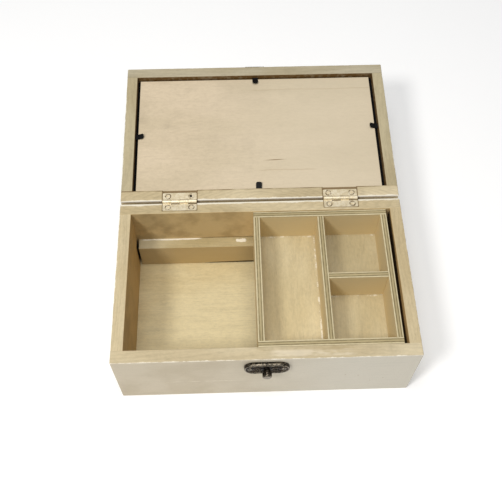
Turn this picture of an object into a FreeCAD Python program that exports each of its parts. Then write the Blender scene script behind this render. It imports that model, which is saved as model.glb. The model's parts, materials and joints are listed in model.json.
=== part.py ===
import FreeCAD, Part
import os
from FreeCAD import Vector

# Hinged wooden art supply box with a lift-out plywood tray and a glazed picture lid.
# Millimetres. The origin is the centre of the base's underside, +X is the right-hand side
# seen from the latch side, +Y points to the hinges and +Z is up. The lid is built closed,
# on top of the base, and is then turned open about the hinge pins.

# ---- driving dimensions -----------------------------------------------------------------
BOX_WIDTH = 230.0
BOX_DEPTH = 139.0
BASE_HEIGHT = 70.0
LID_HEIGHT = 22.0
WALL = 10.0                  # front and back walls and rails
SIDE_WALL = 9.2              # left and right walls and rails
RIM_GAP = 0.6                # between the two rims when the lid is shut
OPEN_ANGLE = 176.5           # how far the lid stands open, in degrees
ARRIS = 0.8                  # softened outer edges of the carcass
RIM_ARRIS = 0.4              # softened inner edges of the rims
PLANK_ARRIS = 0.3            # softened edges of the small planks

FLOOR_THICKNESS = 3.0
LEDGE_DEPTH = 9.5
LEDGE_TOP = 30.5
LEDGE_LEFT_PLAY = 1.8        # between the ledges and the left wall
LEDGE_RIGHT_PLAY = 1.3

TRAY_LEFT = -6.1
TRAY_RIGHT = 102.4
TRAY_TOP = 69.3
TRAY_WALL = 5.0
TRAY_SIDE_PLAY = 0.3         # between the tray and the front and back walls
TRAY_FLOOR_TOP = 38.5
TRAY_FLOOR_THICKNESS = 3.0
LONG_DIVIDER_LEFT = 46.0
CROSS_DIVIDER_BACK = 1.8

PANEL_RECESS = 4.0           # from the lid's rim down to the back panel
PANEL_THICKNESS = 3.0
PANEL_LEFT = -103.4
PANEL_RIGHT = 103.0
PANEL_FRONT_PLAY = 1.2
PANEL_BACK_PLAY = 0.2
CARD_THICKNESS = 1.0
INSERT_THICKNESS = 0.5
GLAZING_THICKNESS = 2.0
GLAZING_PLAY = 0.5
STRIP_WIDTH = 12.0
STRIP_CHAMFER = 2.0

HINGE_SPREAD = 132.6         # between the middles of the two hinges
HINGE_WIDTH = 28.0
HINGE_BEHIND = 1.2           # from the box's back face to the hinge pins
KNUCKLES = 4
KNUCKLE_RADIUS = 1.7
KNUCKLE_PLAY = 0.1
KNUCKLE_ROOM = 0.8           # between a leaf and the other leaf's knuckles
PIN_RADIUS = 0.8
PIN_CLEARANCE = 0.05
LEAF_REACH = 8.5             # from the pin to the leaf's far edge
LEAF_THICKNESS = 1.0
LEAF_FACE = 0.4              # from the pin's middle to the leaf's face
MORTISE_PLAY = 0.1
HINGE_SCREW_SPREAD = 19.2
HINGE_SCREW_REACH = 5.4
SCREW_HEAD_RADIUS = 2.3
SCREW_SHANK_RADIUS = 1.1
SCREW_LENGTH = 8.0
SCREW_CROSS_LENGTH = 2.6
SCREW_CROSS_WIDTH = 0.5
SCREW_CROSS_DEPTH = 0.4

PLATE_LENGTH = 34.0
PLATE_HEIGHT = 16.2
PLATE_RIM_WIDTH = 1.5
CATCH_PLATE_MIDDLE = 57.2    # height of the middle of the catch plate
CATCH_PLATE_THICKNESS = 3.0
HASP_PLATE_THICKNESS = 2.0
PLATE_FIELD_DROP = 1.0       # how far the field lies below the plate's raised rim
PLATE_SCREW_SPREAD = 25.8
PLATE_SCREW_RADIUS = 2.1
PLATE_SCREW_HEAD = 0.8

KNOB_HEIGHT = 55.6
KNOB_NECK_RADIUS = 2.7
KNOB_HEAD_RADIUS = 3.6
KNOB_NECK_END = 5.2          # from the box's front face
KNOB_HEAD_END = 8.8
KNOB_ROUND = 1.2

HASP_PLATE_ABOVE_RIM = 13.0  # from the shut lid's rim up to the middle of the hasp plate
HASP_PIVOT_ABOVE_RIM = 7.0   # from the shut lid's rim up to the flap's pin
HASP_PIVOT_OUT = 4.0         # in front of the box's front face
HASP_PIN_RADIUS = 0.7
HASP_KNUCKLE_RADIUS = 1.5
HASP_LUG_THICKNESS = 2.0
HASP_LUG_PLAY = 0.15
FLAP_WIDTH = 13.0
FLAP_THICKNESS = 1.2
FLAP_SLOT_WIDTH = 8.4
FLAP_SLOT_LENGTH = 10.0
FLAP_END_BAND = 2.5

TAB_WIDTH = 5.0
TAB_THICKNESS = 0.5
TAB_ROOT = 0.3               # how far the buried blade stands out of its rail
TAB_BURIED = 5.0
TAB_FLAT = 2.0               # from the rail to where the tab starts to rise off the panel
TAB_LENGTH = 7.3             # from the rail to the tip
TAB_LIFT = 2.0               # how far the tip stands off the panel
TAB_TIP_ROUND = 1.5
FRONT_TAB_X = 0.0
BACK_TAB_X = -0.4
LEFT_TAB_Y = 2.8
RIGHT_TAB_Y = -3.7

# ---- positions that follow from them ------------------------------------------------------
HALF_WIDTH = BOX_WIDTH / 2
HALF_DEPTH = BOX_DEPTH / 2
INNER_X = HALF_WIDTH - SIDE_WALL
INNER_Y = HALF_DEPTH - WALL
LID_RIM = BASE_HEIGHT + RIM_GAP
LID_OUTSIDE = LID_RIM + LID_HEIGHT
HINGE_Y = HALF_DEPTH + HINGE_BEHIND
HINGE_Z = BASE_HEIGHT + RIM_GAP / 2
PANEL_FACE = LID_RIM + PANEL_RECESS
CARD_FACE = PANEL_FACE + PANEL_THICKNESS
INSERT_FACE = CARD_FACE + CARD_THICKNESS
GLAZING_FACE = INSERT_FACE + INSERT_THICKNESS
STRIP_FACE = GLAZING_FACE + GLAZING_THICKNESS
HASP_PLATE_MIDDLE = LID_RIM + HASP_PLATE_ABOVE_RIM
HASP_PIVOT_Y = -HALF_DEPTH - HASP_PIVOT_OUT
HASP_PIVOT_Z = LID_RIM + HASP_PIVOT_ABOVE_RIM
FAR = 400.0                  # longer than anything in the box

X_AXIS = Vector(1, 0, 0)
Y_AXIS = Vector(0, 1, 0)
Z_AXIS = Vector(0, 0, 1)


# ---- small helpers ------------------------------------------------------------------------
def block(x, y, z):
    """A box from three (low, high) pairs."""
    return Part.makeBox(x[1] - x[0], y[1] - y[0], z[1] - z[0], Vector(x[0], y[0], z[0]))


def plank(x, y, z):
    """A box with lightly softened edges."""
    shape = block(x, y, z)
    return shape.makeFillet(PLANK_ARRIS, shape.Edges)


def rod(radius, start, axis, length):
    return Part.makeCylinder(radius, length, start, axis)


def opened(shape):
    """The same shape, carried by the lid from shut to open."""
    return shape.rotated(Vector(0, HINGE_Y, HINGE_Z), X_AXIS, -OPEN_ANGLE)


def stadium(length, height, middle, y, thickness):
    """A plate with half-round ends, upright, growing from y towards the front."""
    radius = height / 2
    straight = length / 2 - radius
    bar = block((-straight, straight), (y - thickness, y), (middle - radius, middle + radius))
    for side in (-straight, straight):
        bar = bar.fuse(rod(radius, Vector(side, y, middle), -Y_AXIS, thickness))
    return bar.removeSplitter()


def screw(start, axis, across):
    """A countersunk wood screw: start is the middle of its head, axis points into the wood."""
    head = Part.makeCone(SCREW_HEAD_RADIUS, SCREW_SHANK_RADIUS, LEAF_THICKNESS, start, axis)
    shank_start = start + axis * LEAF_THICKNESS
    shank = rod(SCREW_SHANK_RADIUS, shank_start, axis, SCREW_LENGTH - LEAF_THICKNESS)
    shape = head.fuse(shank).removeSplitter()
    along = axis.cross(across)
    for first, second in ((across, along), (along, across)):
        shape = shape.cut(bar_on(start, axis, first, second))
    return shape


def bar_on(start, axis, long_way, short_way):
    """One arm of a cross recess, sunk from start along axis."""
    corner = start - long_way * (SCREW_CROSS_LENGTH / 2) - short_way * (SCREW_CROSS_WIDTH / 2)
    edge = Part.makeLine(corner, corner + long_way * SCREW_CROSS_LENGTH)
    return edge.extrude(short_way * SCREW_CROSS_WIDTH).extrude(axis * SCREW_CROSS_DEPTH)


# ---- carcass: four walls cut from one softened frame ---------------------------------------
def softened_frame(bottom, top, rim):
    """The four walls as one ring, with its outer edges and the inner edges of its rim softened."""
    outer = block((-HALF_WIDTH, HALF_WIDTH), (-HALF_DEPTH, HALF_DEPTH), (bottom, top))
    outer = outer.makeFillet(ARRIS, outer.Edges)
    ring = outer.cut(block((-INNER_X, INNER_X), (-INNER_Y, INNER_Y), (bottom - 1, top + 1)))
    inner_edges = []
    for edge in ring.Edges:
        limits = edge.BoundBox
        on_rim = abs(limits.ZMin - rim) < 0.01 and abs(limits.ZMax - rim) < 0.01
        inside = max(abs(limits.XMin), abs(limits.XMax)) < INNER_X + 0.01
        inside = inside and max(abs(limits.YMin), abs(limits.YMax)) < INNER_Y + 0.01
        if on_rim and inside:
            inner_edges.append(edge)
    return ring.makeFillet(RIM_ARRIS, inner_edges)


def four_walls(ring):
    """Front and back walls run the full width; the side walls stand between them."""
    full = (-FAR, FAR)
    return {
        "front": ring.common(block(full, (-FAR, -INNER_Y), full)),
        "back": ring.common(block(full, (INNER_Y, FAR), full)),
        "left": ring.common(block((-FAR, -INNER_X), (-INNER_Y, INNER_Y), full)),
        "right": ring.common(block((INNER_X, FAR), (-INNER_Y, INNER_Y), full)),
    }


# ---- hinges -------------------------------------------------------------------------------
def hinge_screw_places(middle):
    return [middle - HINGE_SCREW_SPREAD / 2, middle + HINGE_SCREW_SPREAD / 2]


def hinge_screw(x, lid_side):
    """lid_side is +1 for the lid's screws, which point up when the lid is shut, and -1 below."""
    start = Vector(x, HINGE_Y - HINGE_SCREW_REACH, HINGE_Z + lid_side * LEAF_FACE)
    return screw(start, Z_AXIS * lid_side, X_AXIS)


def leaf_mortise(middle, lid_side, reach):
    half = HINGE_WIDTH / 2 + MORTISE_PLAY
    deep = HINGE_Z + lid_side * (LEAF_FACE + LEAF_THICKNESS)
    low, high = sorted((deep, HINGE_Z))
    return block((middle - half, middle + half), (HINGE_Y - reach, FAR), (low, high))


def hinge_leaf(middle, lid_side):
    """A leaf with two of the four knuckles, its screw holes and room for the other leaf's knuckles."""
    left = middle - HINGE_WIDTH / 2
    face = HINGE_Z + lid_side * LEAF_FACE
    low, high = sorted((face, face + lid_side * LEAF_THICKNESS))
    leaf = block((left, left + HINGE_WIDTH), (HINGE_Y - LEAF_REACH, HINGE_Y), (low, high))
    corners = [e for e in leaf.Edges
               if abs(e.BoundBox.YMax - (HINGE_Y - LEAF_REACH)) < 0.01 and e.BoundBox.ZLength > 0.5]
    leaf = leaf.makeFillet(LEAF_THICKNESS, corners)
    pitch = HINGE_WIDTH / KNUCKLES
    own_first = 1 if lid_side > 0 else 0
    for number in range(KNUCKLES):
        start = left + number * pitch
        if number % 2 == own_first:
            knuckle_start = Vector(start + KNUCKLE_PLAY, HINGE_Y, HINGE_Z)
            leaf = leaf.fuse(rod(KNUCKLE_RADIUS, knuckle_start, X_AXIS, pitch - 2 * KNUCKLE_PLAY))
        else:
            room = rod(KNUCKLE_RADIUS + KNUCKLE_ROOM, Vector(start, HINGE_Y, HINGE_Z), X_AXIS, pitch)
            leaf = leaf.cut(room)
    bore = PIN_RADIUS + (PIN_CLEARANCE if lid_side > 0 else 0)
    leaf = leaf.cut(rod(bore, Vector(left - 1, HINGE_Y, HINGE_Z), X_AXIS, HINGE_WIDTH + 2))
    for x in hinge_screw_places(middle):
        sink_start = Vector(x, HINGE_Y - HINGE_SCREW_REACH, face)
        sink = Part.makeCone(SCREW_HEAD_RADIUS, SCREW_SHANK_RADIUS, LEAF_THICKNESS,
                             sink_start, Z_AXIS * lid_side)
        leaf = leaf.cut(sink)
    return leaf.removeSplitter()


def hinge_pin(middle):
    return rod(PIN_RADIUS, Vector(middle - HINGE_WIDTH / 2, HINGE_Y, HINGE_Z), X_AXIS, HINGE_WIDTH)


def screw_pilot(x, lid_side):
    start = Vector(x, HINGE_Y - HINGE_SCREW_REACH, HINGE_Z + lid_side * (LEAF_FACE + LEAF_THICKNESS))
    return rod(SCREW_SHANK_RADIUS, start, Z_AXIS * lid_side, SCREW_LENGTH - LEAF_THICKNESS)


def cut_for_hinges(rail, lid_side, reach):
    for middle in (-HINGE_SPREAD / 2, HINGE_SPREAD / 2):
        rail = rail.cut(leaf_mortise(middle, lid_side, reach))
        for x in hinge_screw_places(middle):
            rail = rail.cut(screw_pilot(x, lid_side))
    return rail


# ---- latch --------------------------------------------------------------------------------
def plate_screw(x, height, plate_face):
    """A round-headed nail screw through a latch plate into the wood behind it."""
    start = Vector(x, plate_face, height)
    head = rod(PLATE_SCREW_RADIUS, start, -Y_AXIS, PLATE_SCREW_HEAD)
    rim = [e for e in head.Edges if abs(e.BoundBox.YMax - (plate_face - PLATE_SCREW_HEAD)) < 0.01]
    head = head.makeFillet(PLATE_SCREW_HEAD * 0.6, rim)
    shank = rod(SCREW_SHANK_RADIUS, start, Y_AXIS, SCREW_LENGTH)
    shape = head.fuse(shank).removeSplitter()
    top = start - Y_AXIS * PLATE_SCREW_HEAD
    shape = shape.cut(bar_on(top, Y_AXIS, X_AXIS, Z_AXIS))
    return shape.cut(bar_on(top, Y_AXIS, Z_AXIS, X_AXIS))


def latch_plate(middle, thickness):
    """A plate with a raised rim round a lower field, and its two screw holes."""
    plate = stadium(PLATE_LENGTH, PLATE_HEIGHT, middle, -HALF_DEPTH, thickness)
    front = [e for e in plate.Edges if abs(e.BoundBox.YMax + HALF_DEPTH + thickness) < 0.01]
    plate = plate.makeFillet(PLATE_RIM_WIDTH * 0.4, front)
    field = stadium(PLATE_LENGTH - 2 * PLATE_RIM_WIDTH, PLATE_HEIGHT - 2 * PLATE_RIM_WIDTH, middle,
                    -HALF_DEPTH - thickness + PLATE_FIELD_DROP, PLATE_FIELD_DROP + 1)
    plate = plate.cut(field)
    for x in (-PLATE_SCREW_SPREAD / 2, PLATE_SCREW_SPREAD / 2):
        hole = rod(SCREW_SHANK_RADIUS, Vector(x, -HALF_DEPTH, middle), -Y_AXIS, thickness)
        plate = plate.cut(hole)
    return plate


def plate_screws(middle, thickness):
    face = -HALF_DEPTH - thickness + PLATE_FIELD_DROP
    screws = [plate_screw(x, middle, face) for x in (-PLATE_SCREW_SPREAD / 2, PLATE_SCREW_SPREAD / 2)]
    return Part.makeCompound(screws)


def knob():
    """A turned stud whose head holds the flap when the box is latched."""
    start = Vector(0, -HALF_DEPTH - CATCH_PLATE_THICKNESS + PLATE_FIELD_DROP, KNOB_HEIGHT)
    neck_end = Vector(0, -HALF_DEPTH - KNOB_NECK_END, KNOB_HEIGHT)
    neck = rod(KNOB_NECK_RADIUS, start, -Y_AXIS, start.y - neck_end.y)
    head = rod(KNOB_HEAD_RADIUS, neck_end, -Y_AXIS, KNOB_HEAD_END - KNOB_NECK_END)
    front = [e for e in head.Edges if abs(e.BoundBox.YMax + HALF_DEPTH + KNOB_HEAD_END) < 0.01]
    head = head.makeFillet(KNOB_ROUND, front)
    return neck.fuse(head).removeSplitter()


def hasp_lug(side):
    """One ear of the hasp plate; it stands either side of the flap's knuckle and holds the pin."""
    inner = FLAP_WIDTH / 2 + HASP_LUG_PLAY
    x = (inner, inner + HASP_LUG_THICKNESS) if side > 0 else (-inner - HASP_LUG_THICKNESS, -inner)
    arm = block(x, (HASP_PIVOT_Y, -HALF_DEPTH), (HASP_PIVOT_Z - HASP_KNUCKLE_RADIUS,
                                                  HASP_PIVOT_Z + HASP_KNUCKLE_RADIUS))
    eye = rod(HASP_KNUCKLE_RADIUS, Vector(x[0], HASP_PIVOT_Y, HASP_PIVOT_Z), X_AXIS, HASP_LUG_THICKNESS)
    return arm.fuse(eye)


def hasp_plate():
    plate = latch_plate(HASP_PLATE_MIDDLE, HASP_PLATE_THICKNESS)
    for side in (-1, 1):
        plate = plate.fuse(hasp_lug(side))
    pin_hole = rod(HASP_PIN_RADIUS, Vector(-FAR, HASP_PIVOT_Y, HASP_PIVOT_Z), X_AXIS, 2 * FAR)
    return plate.cut(pin_hole).removeSplitter()


def hasp_pin():
    half = FLAP_WIDTH / 2 + HASP_LUG_PLAY + HASP_LUG_THICKNESS
    return rod(HASP_PIN_RADIUS, Vector(-half, HASP_PIVOT_Y, HASP_PIVOT_Z), X_AXIS, 2 * half)


def hasp_flap():
    """The slotted flap, folded up against the hasp plate."""
    slot_middle = HASP_PIVOT_Z - KNOB_HEIGHT
    end = slot_middle + FLAP_SLOT_LENGTH / 2 + FLAP_END_BAND
    half = FLAP_WIDTH / 2
    y = (HASP_PIVOT_Y - FLAP_THICKNESS / 2, HASP_PIVOT_Y + FLAP_THICKNESS / 2)
    flap = block((-half, half), y, (HASP_PIVOT_Z, HASP_PIVOT_Z + end))
    corners = [e for e in flap.Edges
               if abs(e.BoundBox.ZMin - HASP_PIVOT_Z - end) < 0.01 and e.BoundBox.YLength > 0.5]
    flap = flap.makeFillet(half * 0.8, corners)
    knuckle_start = Vector(-half, HASP_PIVOT_Y, HASP_PIVOT_Z)
    flap = flap.fuse(rod(HASP_KNUCKLE_RADIUS, knuckle_start, X_AXIS, FLAP_WIDTH))
    slot_z = HASP_PIVOT_Z + slot_middle
    slot = block((-FLAP_SLOT_WIDTH / 2, FLAP_SLOT_WIDTH / 2), (y[0] - 1, y[1] + 1),
                 (slot_z - FLAP_SLOT_LENGTH / 2, slot_z + FLAP_SLOT_LENGTH / 2))
    flap = flap.cut(slot.makeFillet(FLAP_SLOT_WIDTH * 0.3, [e for e in slot.Edges
                                                            if e.BoundBox.YLength > 1]))
    bore = rod(HASP_PIN_RADIUS + PIN_CLEARANCE, Vector(-FAR, HASP_PIVOT_Y, HASP_PIVOT_Z), X_AXIS, 2 * FAR)
    return flap.cut(bore).removeSplitter()


# ---- retainer tabs, which hold the back panel in the lid -------------------------------------
TAB_PLACES = {"front": (Vector(FRONT_TAB_X, -INNER_Y, 0), 90),
              "back": (Vector(BACK_TAB_X, INNER_Y, 0), -90),
              "left": (Vector(-INNER_X, LEFT_TAB_Y, 0), 0),
              "right": (Vector(INNER_X, RIGHT_TAB_Y, 0), 180)}


def beside_rail(shape, side):
    """Carries a shape built along +X from the origin to its place on a rail's inner face."""
    place, turn = TAB_PLACES[side]
    return shape.rotated(Vector(0, 0, 0), Z_AXIS, turn).translated(place)


def tab_anchor(side):
    half = TAB_WIDTH / 2
    blade = block((-TAB_BURIED, TAB_ROOT), (-half, half), (PANEL_FACE - TAB_THICKNESS, PANEL_FACE))
    return beside_rail(blade, side)


def tab(side):
    """A strip that leaves the rail along the panel and then rises to a rounded tip."""
    low = [(TAB_ROOT, PANEL_FACE), (TAB_FLAT, PANEL_FACE), (TAB_LENGTH, PANEL_FACE - TAB_LIFT)]
    high = [(reach, z - TAB_THICKNESS) for reach, z in reversed(low)]
    half = TAB_WIDTH / 2
    corners = [Vector(reach, -half, z) for reach, z in low + high]
    outline = Part.makePolygon(corners + corners[:1])
    strip = Part.Face(outline).extrude(Y_AXIS * TAB_WIDTH)
    seen_flat = block((TAB_ROOT, TAB_LENGTH), (-half, half), (LID_RIM, PANEL_FACE))
    tips = [e for e in seen_flat.Edges
            if e.BoundBox.XMin > TAB_LENGTH - 0.01 and e.BoundBox.YLength < 0.01]
    return beside_rail(strip.common(seen_flat.makeFillet(TAB_TIP_ROUND, tips)), side)


# ---- base ---------------------------------------------------------------------------------
def base_nodes():
    walls = four_walls(softened_frame(0, BASE_HEIGHT, BASE_HEIGHT))
    walls["back"] = cut_for_hinges(walls["back"], -1, LEAF_REACH + MORTISE_PLAY)
    screws = plate_screws(CATCH_PLATE_MIDDLE, CATCH_PLATE_THICKNESS)
    walls["front"] = walls["front"].cut(screws)
    nodes = {"base_" + name + "_wall": wall for name, wall in walls.items()}
    nodes["base_floor"] = block((-INNER_X, INNER_X), (-INNER_Y, INNER_Y), (0, FLOOR_THICKNESS))
    ledge_x = (-INNER_X + LEDGE_LEFT_PLAY, INNER_X - LEDGE_RIGHT_PLAY)
    ledge_z = (FLOOR_THICKNESS, LEDGE_TOP)
    nodes["rear_tray_ledge"] = plank(ledge_x, (INNER_Y - LEDGE_DEPTH, INNER_Y), ledge_z)
    nodes["front_tray_ledge"] = plank(ledge_x, (-INNER_Y, -INNER_Y + LEDGE_DEPTH), ledge_z)
    nodes["latch_catch_plate"] = latch_plate(CATCH_PLATE_MIDDLE, CATCH_PLATE_THICKNESS)
    nodes["latch_catch_screws"] = screws
    nodes["latch_knob"] = knob()
    base_screws = []
    for name, middle in (("left", -HINGE_SPREAD / 2), ("right", HINGE_SPREAD / 2)):
        nodes["hinge_" + name + "_base_leaf"] = hinge_leaf(middle, -1)
        nodes["hinge_" + name + "_pin"] = hinge_pin(middle)
        base_screws += [hinge_screw(x, -1) for x in hinge_screw_places(middle)]
    nodes["hinge_base_screws"] = Part.makeCompound(base_screws)
    return nodes


# ---- tray ---------------------------------------------------------------------------------
def tray_nodes():
    front = -INNER_Y + TRAY_SIDE_PLAY
    back = INNER_Y - TRAY_SIDE_PLAY
    across = (TRAY_LEFT, TRAY_RIGHT)
    inner_x = (TRAY_LEFT + TRAY_WALL, TRAY_RIGHT - TRAY_WALL)
    inner_y = (front + TRAY_WALL, back - TRAY_WALL)
    height = (LEDGE_TOP, TRAY_TOP)
    divider_height = (TRAY_FLOOR_TOP, TRAY_TOP - PLANK_ARRIS)
    floor_height = (TRAY_FLOOR_TOP - TRAY_FLOOR_THICKNESS, TRAY_FLOOR_TOP)
    long_divider_x = (LONG_DIVIDER_LEFT, LONG_DIVIDER_LEFT + TRAY_WALL)
    cross_divider_y = (CROSS_DIVIDER_BACK - TRAY_WALL, CROSS_DIVIDER_BACK)
    return {
        "tray_front_wall": plank(across, (front, inner_y[0]), height),
        "tray_back_wall": plank(across, (inner_y[1], back), height),
        "tray_left_wall": plank((across[0], inner_x[0]), inner_y, height),
        "tray_right_wall": plank((inner_x[1], across[1]), inner_y, height),
        "tray_floor": block(inner_x, inner_y, floor_height),
        "tray_long_divider": plank(long_divider_x, inner_y, divider_height),
        "tray_cross_divider": plank((long_divider_x[1], inner_x[1]), cross_divider_y, divider_height),
    }


# ---- lid, built shut ------------------------------------------------------------------------
def window_strips():
    """Four bevelled strips glued inside the rails; they frame the window from outside."""
    z = (STRIP_FACE, LID_OUTSIDE)
    window_x = INNER_X - STRIP_WIDTH
    window_y = INNER_Y - STRIP_WIDTH
    cutter = Part.makeBox(2 * window_x, 2 * window_y, FAR, Vector(-window_x, -window_y, STRIP_FACE - 1))
    frame = block((-INNER_X, INNER_X), (-INNER_Y, INNER_Y), z).cut(cutter)
    bevelled = [e for e in frame.Edges
                if abs(e.BoundBox.ZMin - LID_OUTSIDE) < 0.01
                and max(abs(e.BoundBox.XMin), abs(e.BoundBox.XMax)) < window_x + 0.01
                and max(abs(e.BoundBox.YMin), abs(e.BoundBox.YMax)) < window_y + 0.01]
    frame = frame.makeChamfer(STRIP_CHAMFER, bevelled)
    full = (-FAR, FAR)
    return {
        "front": frame.common(block(full, (-FAR, -window_y), full)),
        "back": frame.common(block(full, (window_y, FAR), full)),
        "left": frame.common(block((-FAR, -window_x), (-window_y, window_y), full)),
        "right": frame.common(block((window_x, FAR), (-window_y, window_y), full)),
    }


def lid_nodes():
    rails = four_walls(softened_frame(LID_RIM, LID_OUTSIDE, LID_RIM))
    rails["back"] = cut_for_hinges(rails["back"], 1, HINGE_BEHIND + WALL + 1)
    screws = plate_screws(HASP_PLATE_MIDDLE, HASP_PLATE_THICKNESS)
    rails["front"] = rails["front"].cut(screws)
    anchors = {side: tab_anchor(side) for side in TAB_PLACES}
    nodes = {}
    for side, rail in rails.items():
        nodes["lid_" + side + "_rail"] = rail.cut(anchors[side])
    for side, strip in window_strips().items():
        nodes["window_" + side + "_strip"] = strip
    nodes["retainer_tab_anchors"] = Part.makeCompound(list(anchors.values()))
    for side in TAB_PLACES:
        nodes["retainer_tab_" + side] = tab(side)
    inner_x = (-INNER_X, INNER_X)
    inner_y = (-INNER_Y, INNER_Y)
    nodes["lid_back_panel"] = plank((PANEL_LEFT, PANEL_RIGHT),
                                    (-INNER_Y + PANEL_FRONT_PLAY, INNER_Y - PANEL_BACK_PLAY),
                                    (PANEL_FACE, CARD_FACE))
    nodes["lid_backing_card"] = block(inner_x, inner_y, (CARD_FACE, INSERT_FACE))
    glazing_x = (-INNER_X + GLAZING_PLAY, INNER_X - GLAZING_PLAY)
    glazing_y = (-INNER_Y + GLAZING_PLAY, INNER_Y - GLAZING_PLAY)
    nodes["picture_insert"] = block(glazing_x, glazing_y, (INSERT_FACE, GLAZING_FACE))
    nodes["lid_glazing"] = block(glazing_x, glazing_y, (GLAZING_FACE, STRIP_FACE))
    lid_screws = []
    for name, middle in (("left", -HINGE_SPREAD / 2), ("right", HINGE_SPREAD / 2)):
        nodes["hinge_" + name + "_lid_leaf"] = hinge_leaf(middle, 1)
        lid_screws += [hinge_screw(x, 1) for x in hinge_screw_places(middle)]
    nodes["hinge_lid_screws"] = Part.makeCompound(lid_screws)
    nodes["hasp_plate"] = hasp_plate()
    nodes["hasp_plate_screws"] = screws
    nodes["hasp_pin"] = hasp_pin()
    nodes["hasp_flap"] = hasp_flap()
    return {name: opened(shape) for name, shape in nodes.items()}


os.makedirs("parts", exist_ok=True)
all_nodes = {**base_nodes(), **tray_nodes(), **lid_nodes()}
for node_name, node_shape in all_nodes.items():
    node_shape.exportStep("parts/" + node_name + ".step")
print(len(all_nodes), "nodes written")
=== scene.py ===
import json
import math

import bmesh
import bpy
from mathutils import Euler, Matrix, Vector


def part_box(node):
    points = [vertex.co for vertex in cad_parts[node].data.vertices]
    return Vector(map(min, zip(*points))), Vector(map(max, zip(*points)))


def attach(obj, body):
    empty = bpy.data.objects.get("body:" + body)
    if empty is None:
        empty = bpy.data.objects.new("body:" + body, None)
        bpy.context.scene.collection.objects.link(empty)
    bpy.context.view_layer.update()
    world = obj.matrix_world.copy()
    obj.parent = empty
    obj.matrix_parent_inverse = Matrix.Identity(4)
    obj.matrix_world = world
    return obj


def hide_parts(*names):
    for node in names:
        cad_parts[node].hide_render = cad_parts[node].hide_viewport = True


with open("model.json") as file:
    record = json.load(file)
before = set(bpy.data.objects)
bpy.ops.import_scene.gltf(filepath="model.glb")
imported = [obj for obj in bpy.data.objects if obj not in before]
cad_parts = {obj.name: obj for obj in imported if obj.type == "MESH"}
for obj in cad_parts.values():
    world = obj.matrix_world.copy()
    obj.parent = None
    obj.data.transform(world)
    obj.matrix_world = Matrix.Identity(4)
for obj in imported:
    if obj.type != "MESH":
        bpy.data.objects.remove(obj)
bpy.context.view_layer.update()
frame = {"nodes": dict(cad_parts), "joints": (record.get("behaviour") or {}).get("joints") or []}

nodes = frame["nodes"]
joints = {joint["name"]: joint for joint in frame["joints"]}

# ---- the object's own measures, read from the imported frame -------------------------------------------
# The scene is in metres. The measures, the materials and the relief are in millimetres on the shut box.
MM = 0.001
AXES = "xyz"
LID_AXIS = Vector(joints["lid_hinge"]["pos_m"])
LID_OPEN = math.radians(joints["lid_hinge"]["range_deg"][1])


def box_mm(node):
    """(lowest, highest) corner of a CAD node at rest, in millimetres."""
    low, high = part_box(node)
    return low / MM, high / MM


def shut_box_mm(node):
    """The same for a lid node, carried from where it is at rest to where it is on the shut box."""
    turn = Matrix.Rotation(LID_OPEN, 3, "X")
    points = [(LID_AXIS + turn @ (v.co - LID_AXIS)) / MM for v in nodes[node].data.vertices]
    lows = [min(point[i] for point in points) for i in range(3)]
    highs = [max(point[i] for point in points) for i in range(3)]
    return Vector(lows), Vector(highs)


HALF_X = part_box("base_front_wall")[1].x / MM
RIM_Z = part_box("base_front_wall")[1].z / MM
INNER_Y, HALF_Y = (corner.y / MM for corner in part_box("base_back_wall"))
INNER_X = -box_mm("base_left_wall")[1].x
LEDGE_BOTTOM = box_mm("rear_tray_ledge")[0].z
TRAY_FLOOR_LOW, TRAY_FLOOR_HIGH = box_mm("tray_floor")
DIVIDER_LOW, DIVIDER_HIGH = box_mm("tray_long_divider")
CROSS_DIVIDER_LOW = box_mm("tray_cross_divider")[0]
LID_RIM, LID_OUTSIDE = (corner.z for corner in shut_box_mm("lid_front_rail"))
LEAF_LOW, LEAF_HIGH = box_mm("hinge_right_base_leaf")
HINGE_MIDDLE = (LEAF_LOW.x + LEAF_HIGH.x) / 2
PIN_Y = LID_AXIS.y / MM
CATCH_LOW, CATCH_HIGH = box_mm("latch_catch_plate")

PLIES = 5
SCREW_ASIDE = 9.6            # from a hinge's middle to its screws
SCREW_FROM_PIN = 5.4         # from the pin's line to the screws
SCREW_RADIUS = 2.3
PIT_X = SCREW_ASIDE - HINGE_MIDDLE - 0.4     # of a black pit in one screw's head
PLATE_SCREW_ASIDE = 12.9     # from the catch plate's middle to its screws
PLATE_SCREW_SEAT = 2.3       # radius of the flat round each of them


def colour(red, green, blue):
    """A colour given as the 0 to 255 values seen on a screen, made linear for the shaders."""
    linear = [((c / 255 + 0.055) / 1.055) ** 2.4 if c > 10 else c / 255 / 12.92 for c in (red, green, blue)]
    return (*linear, 1.0)


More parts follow.
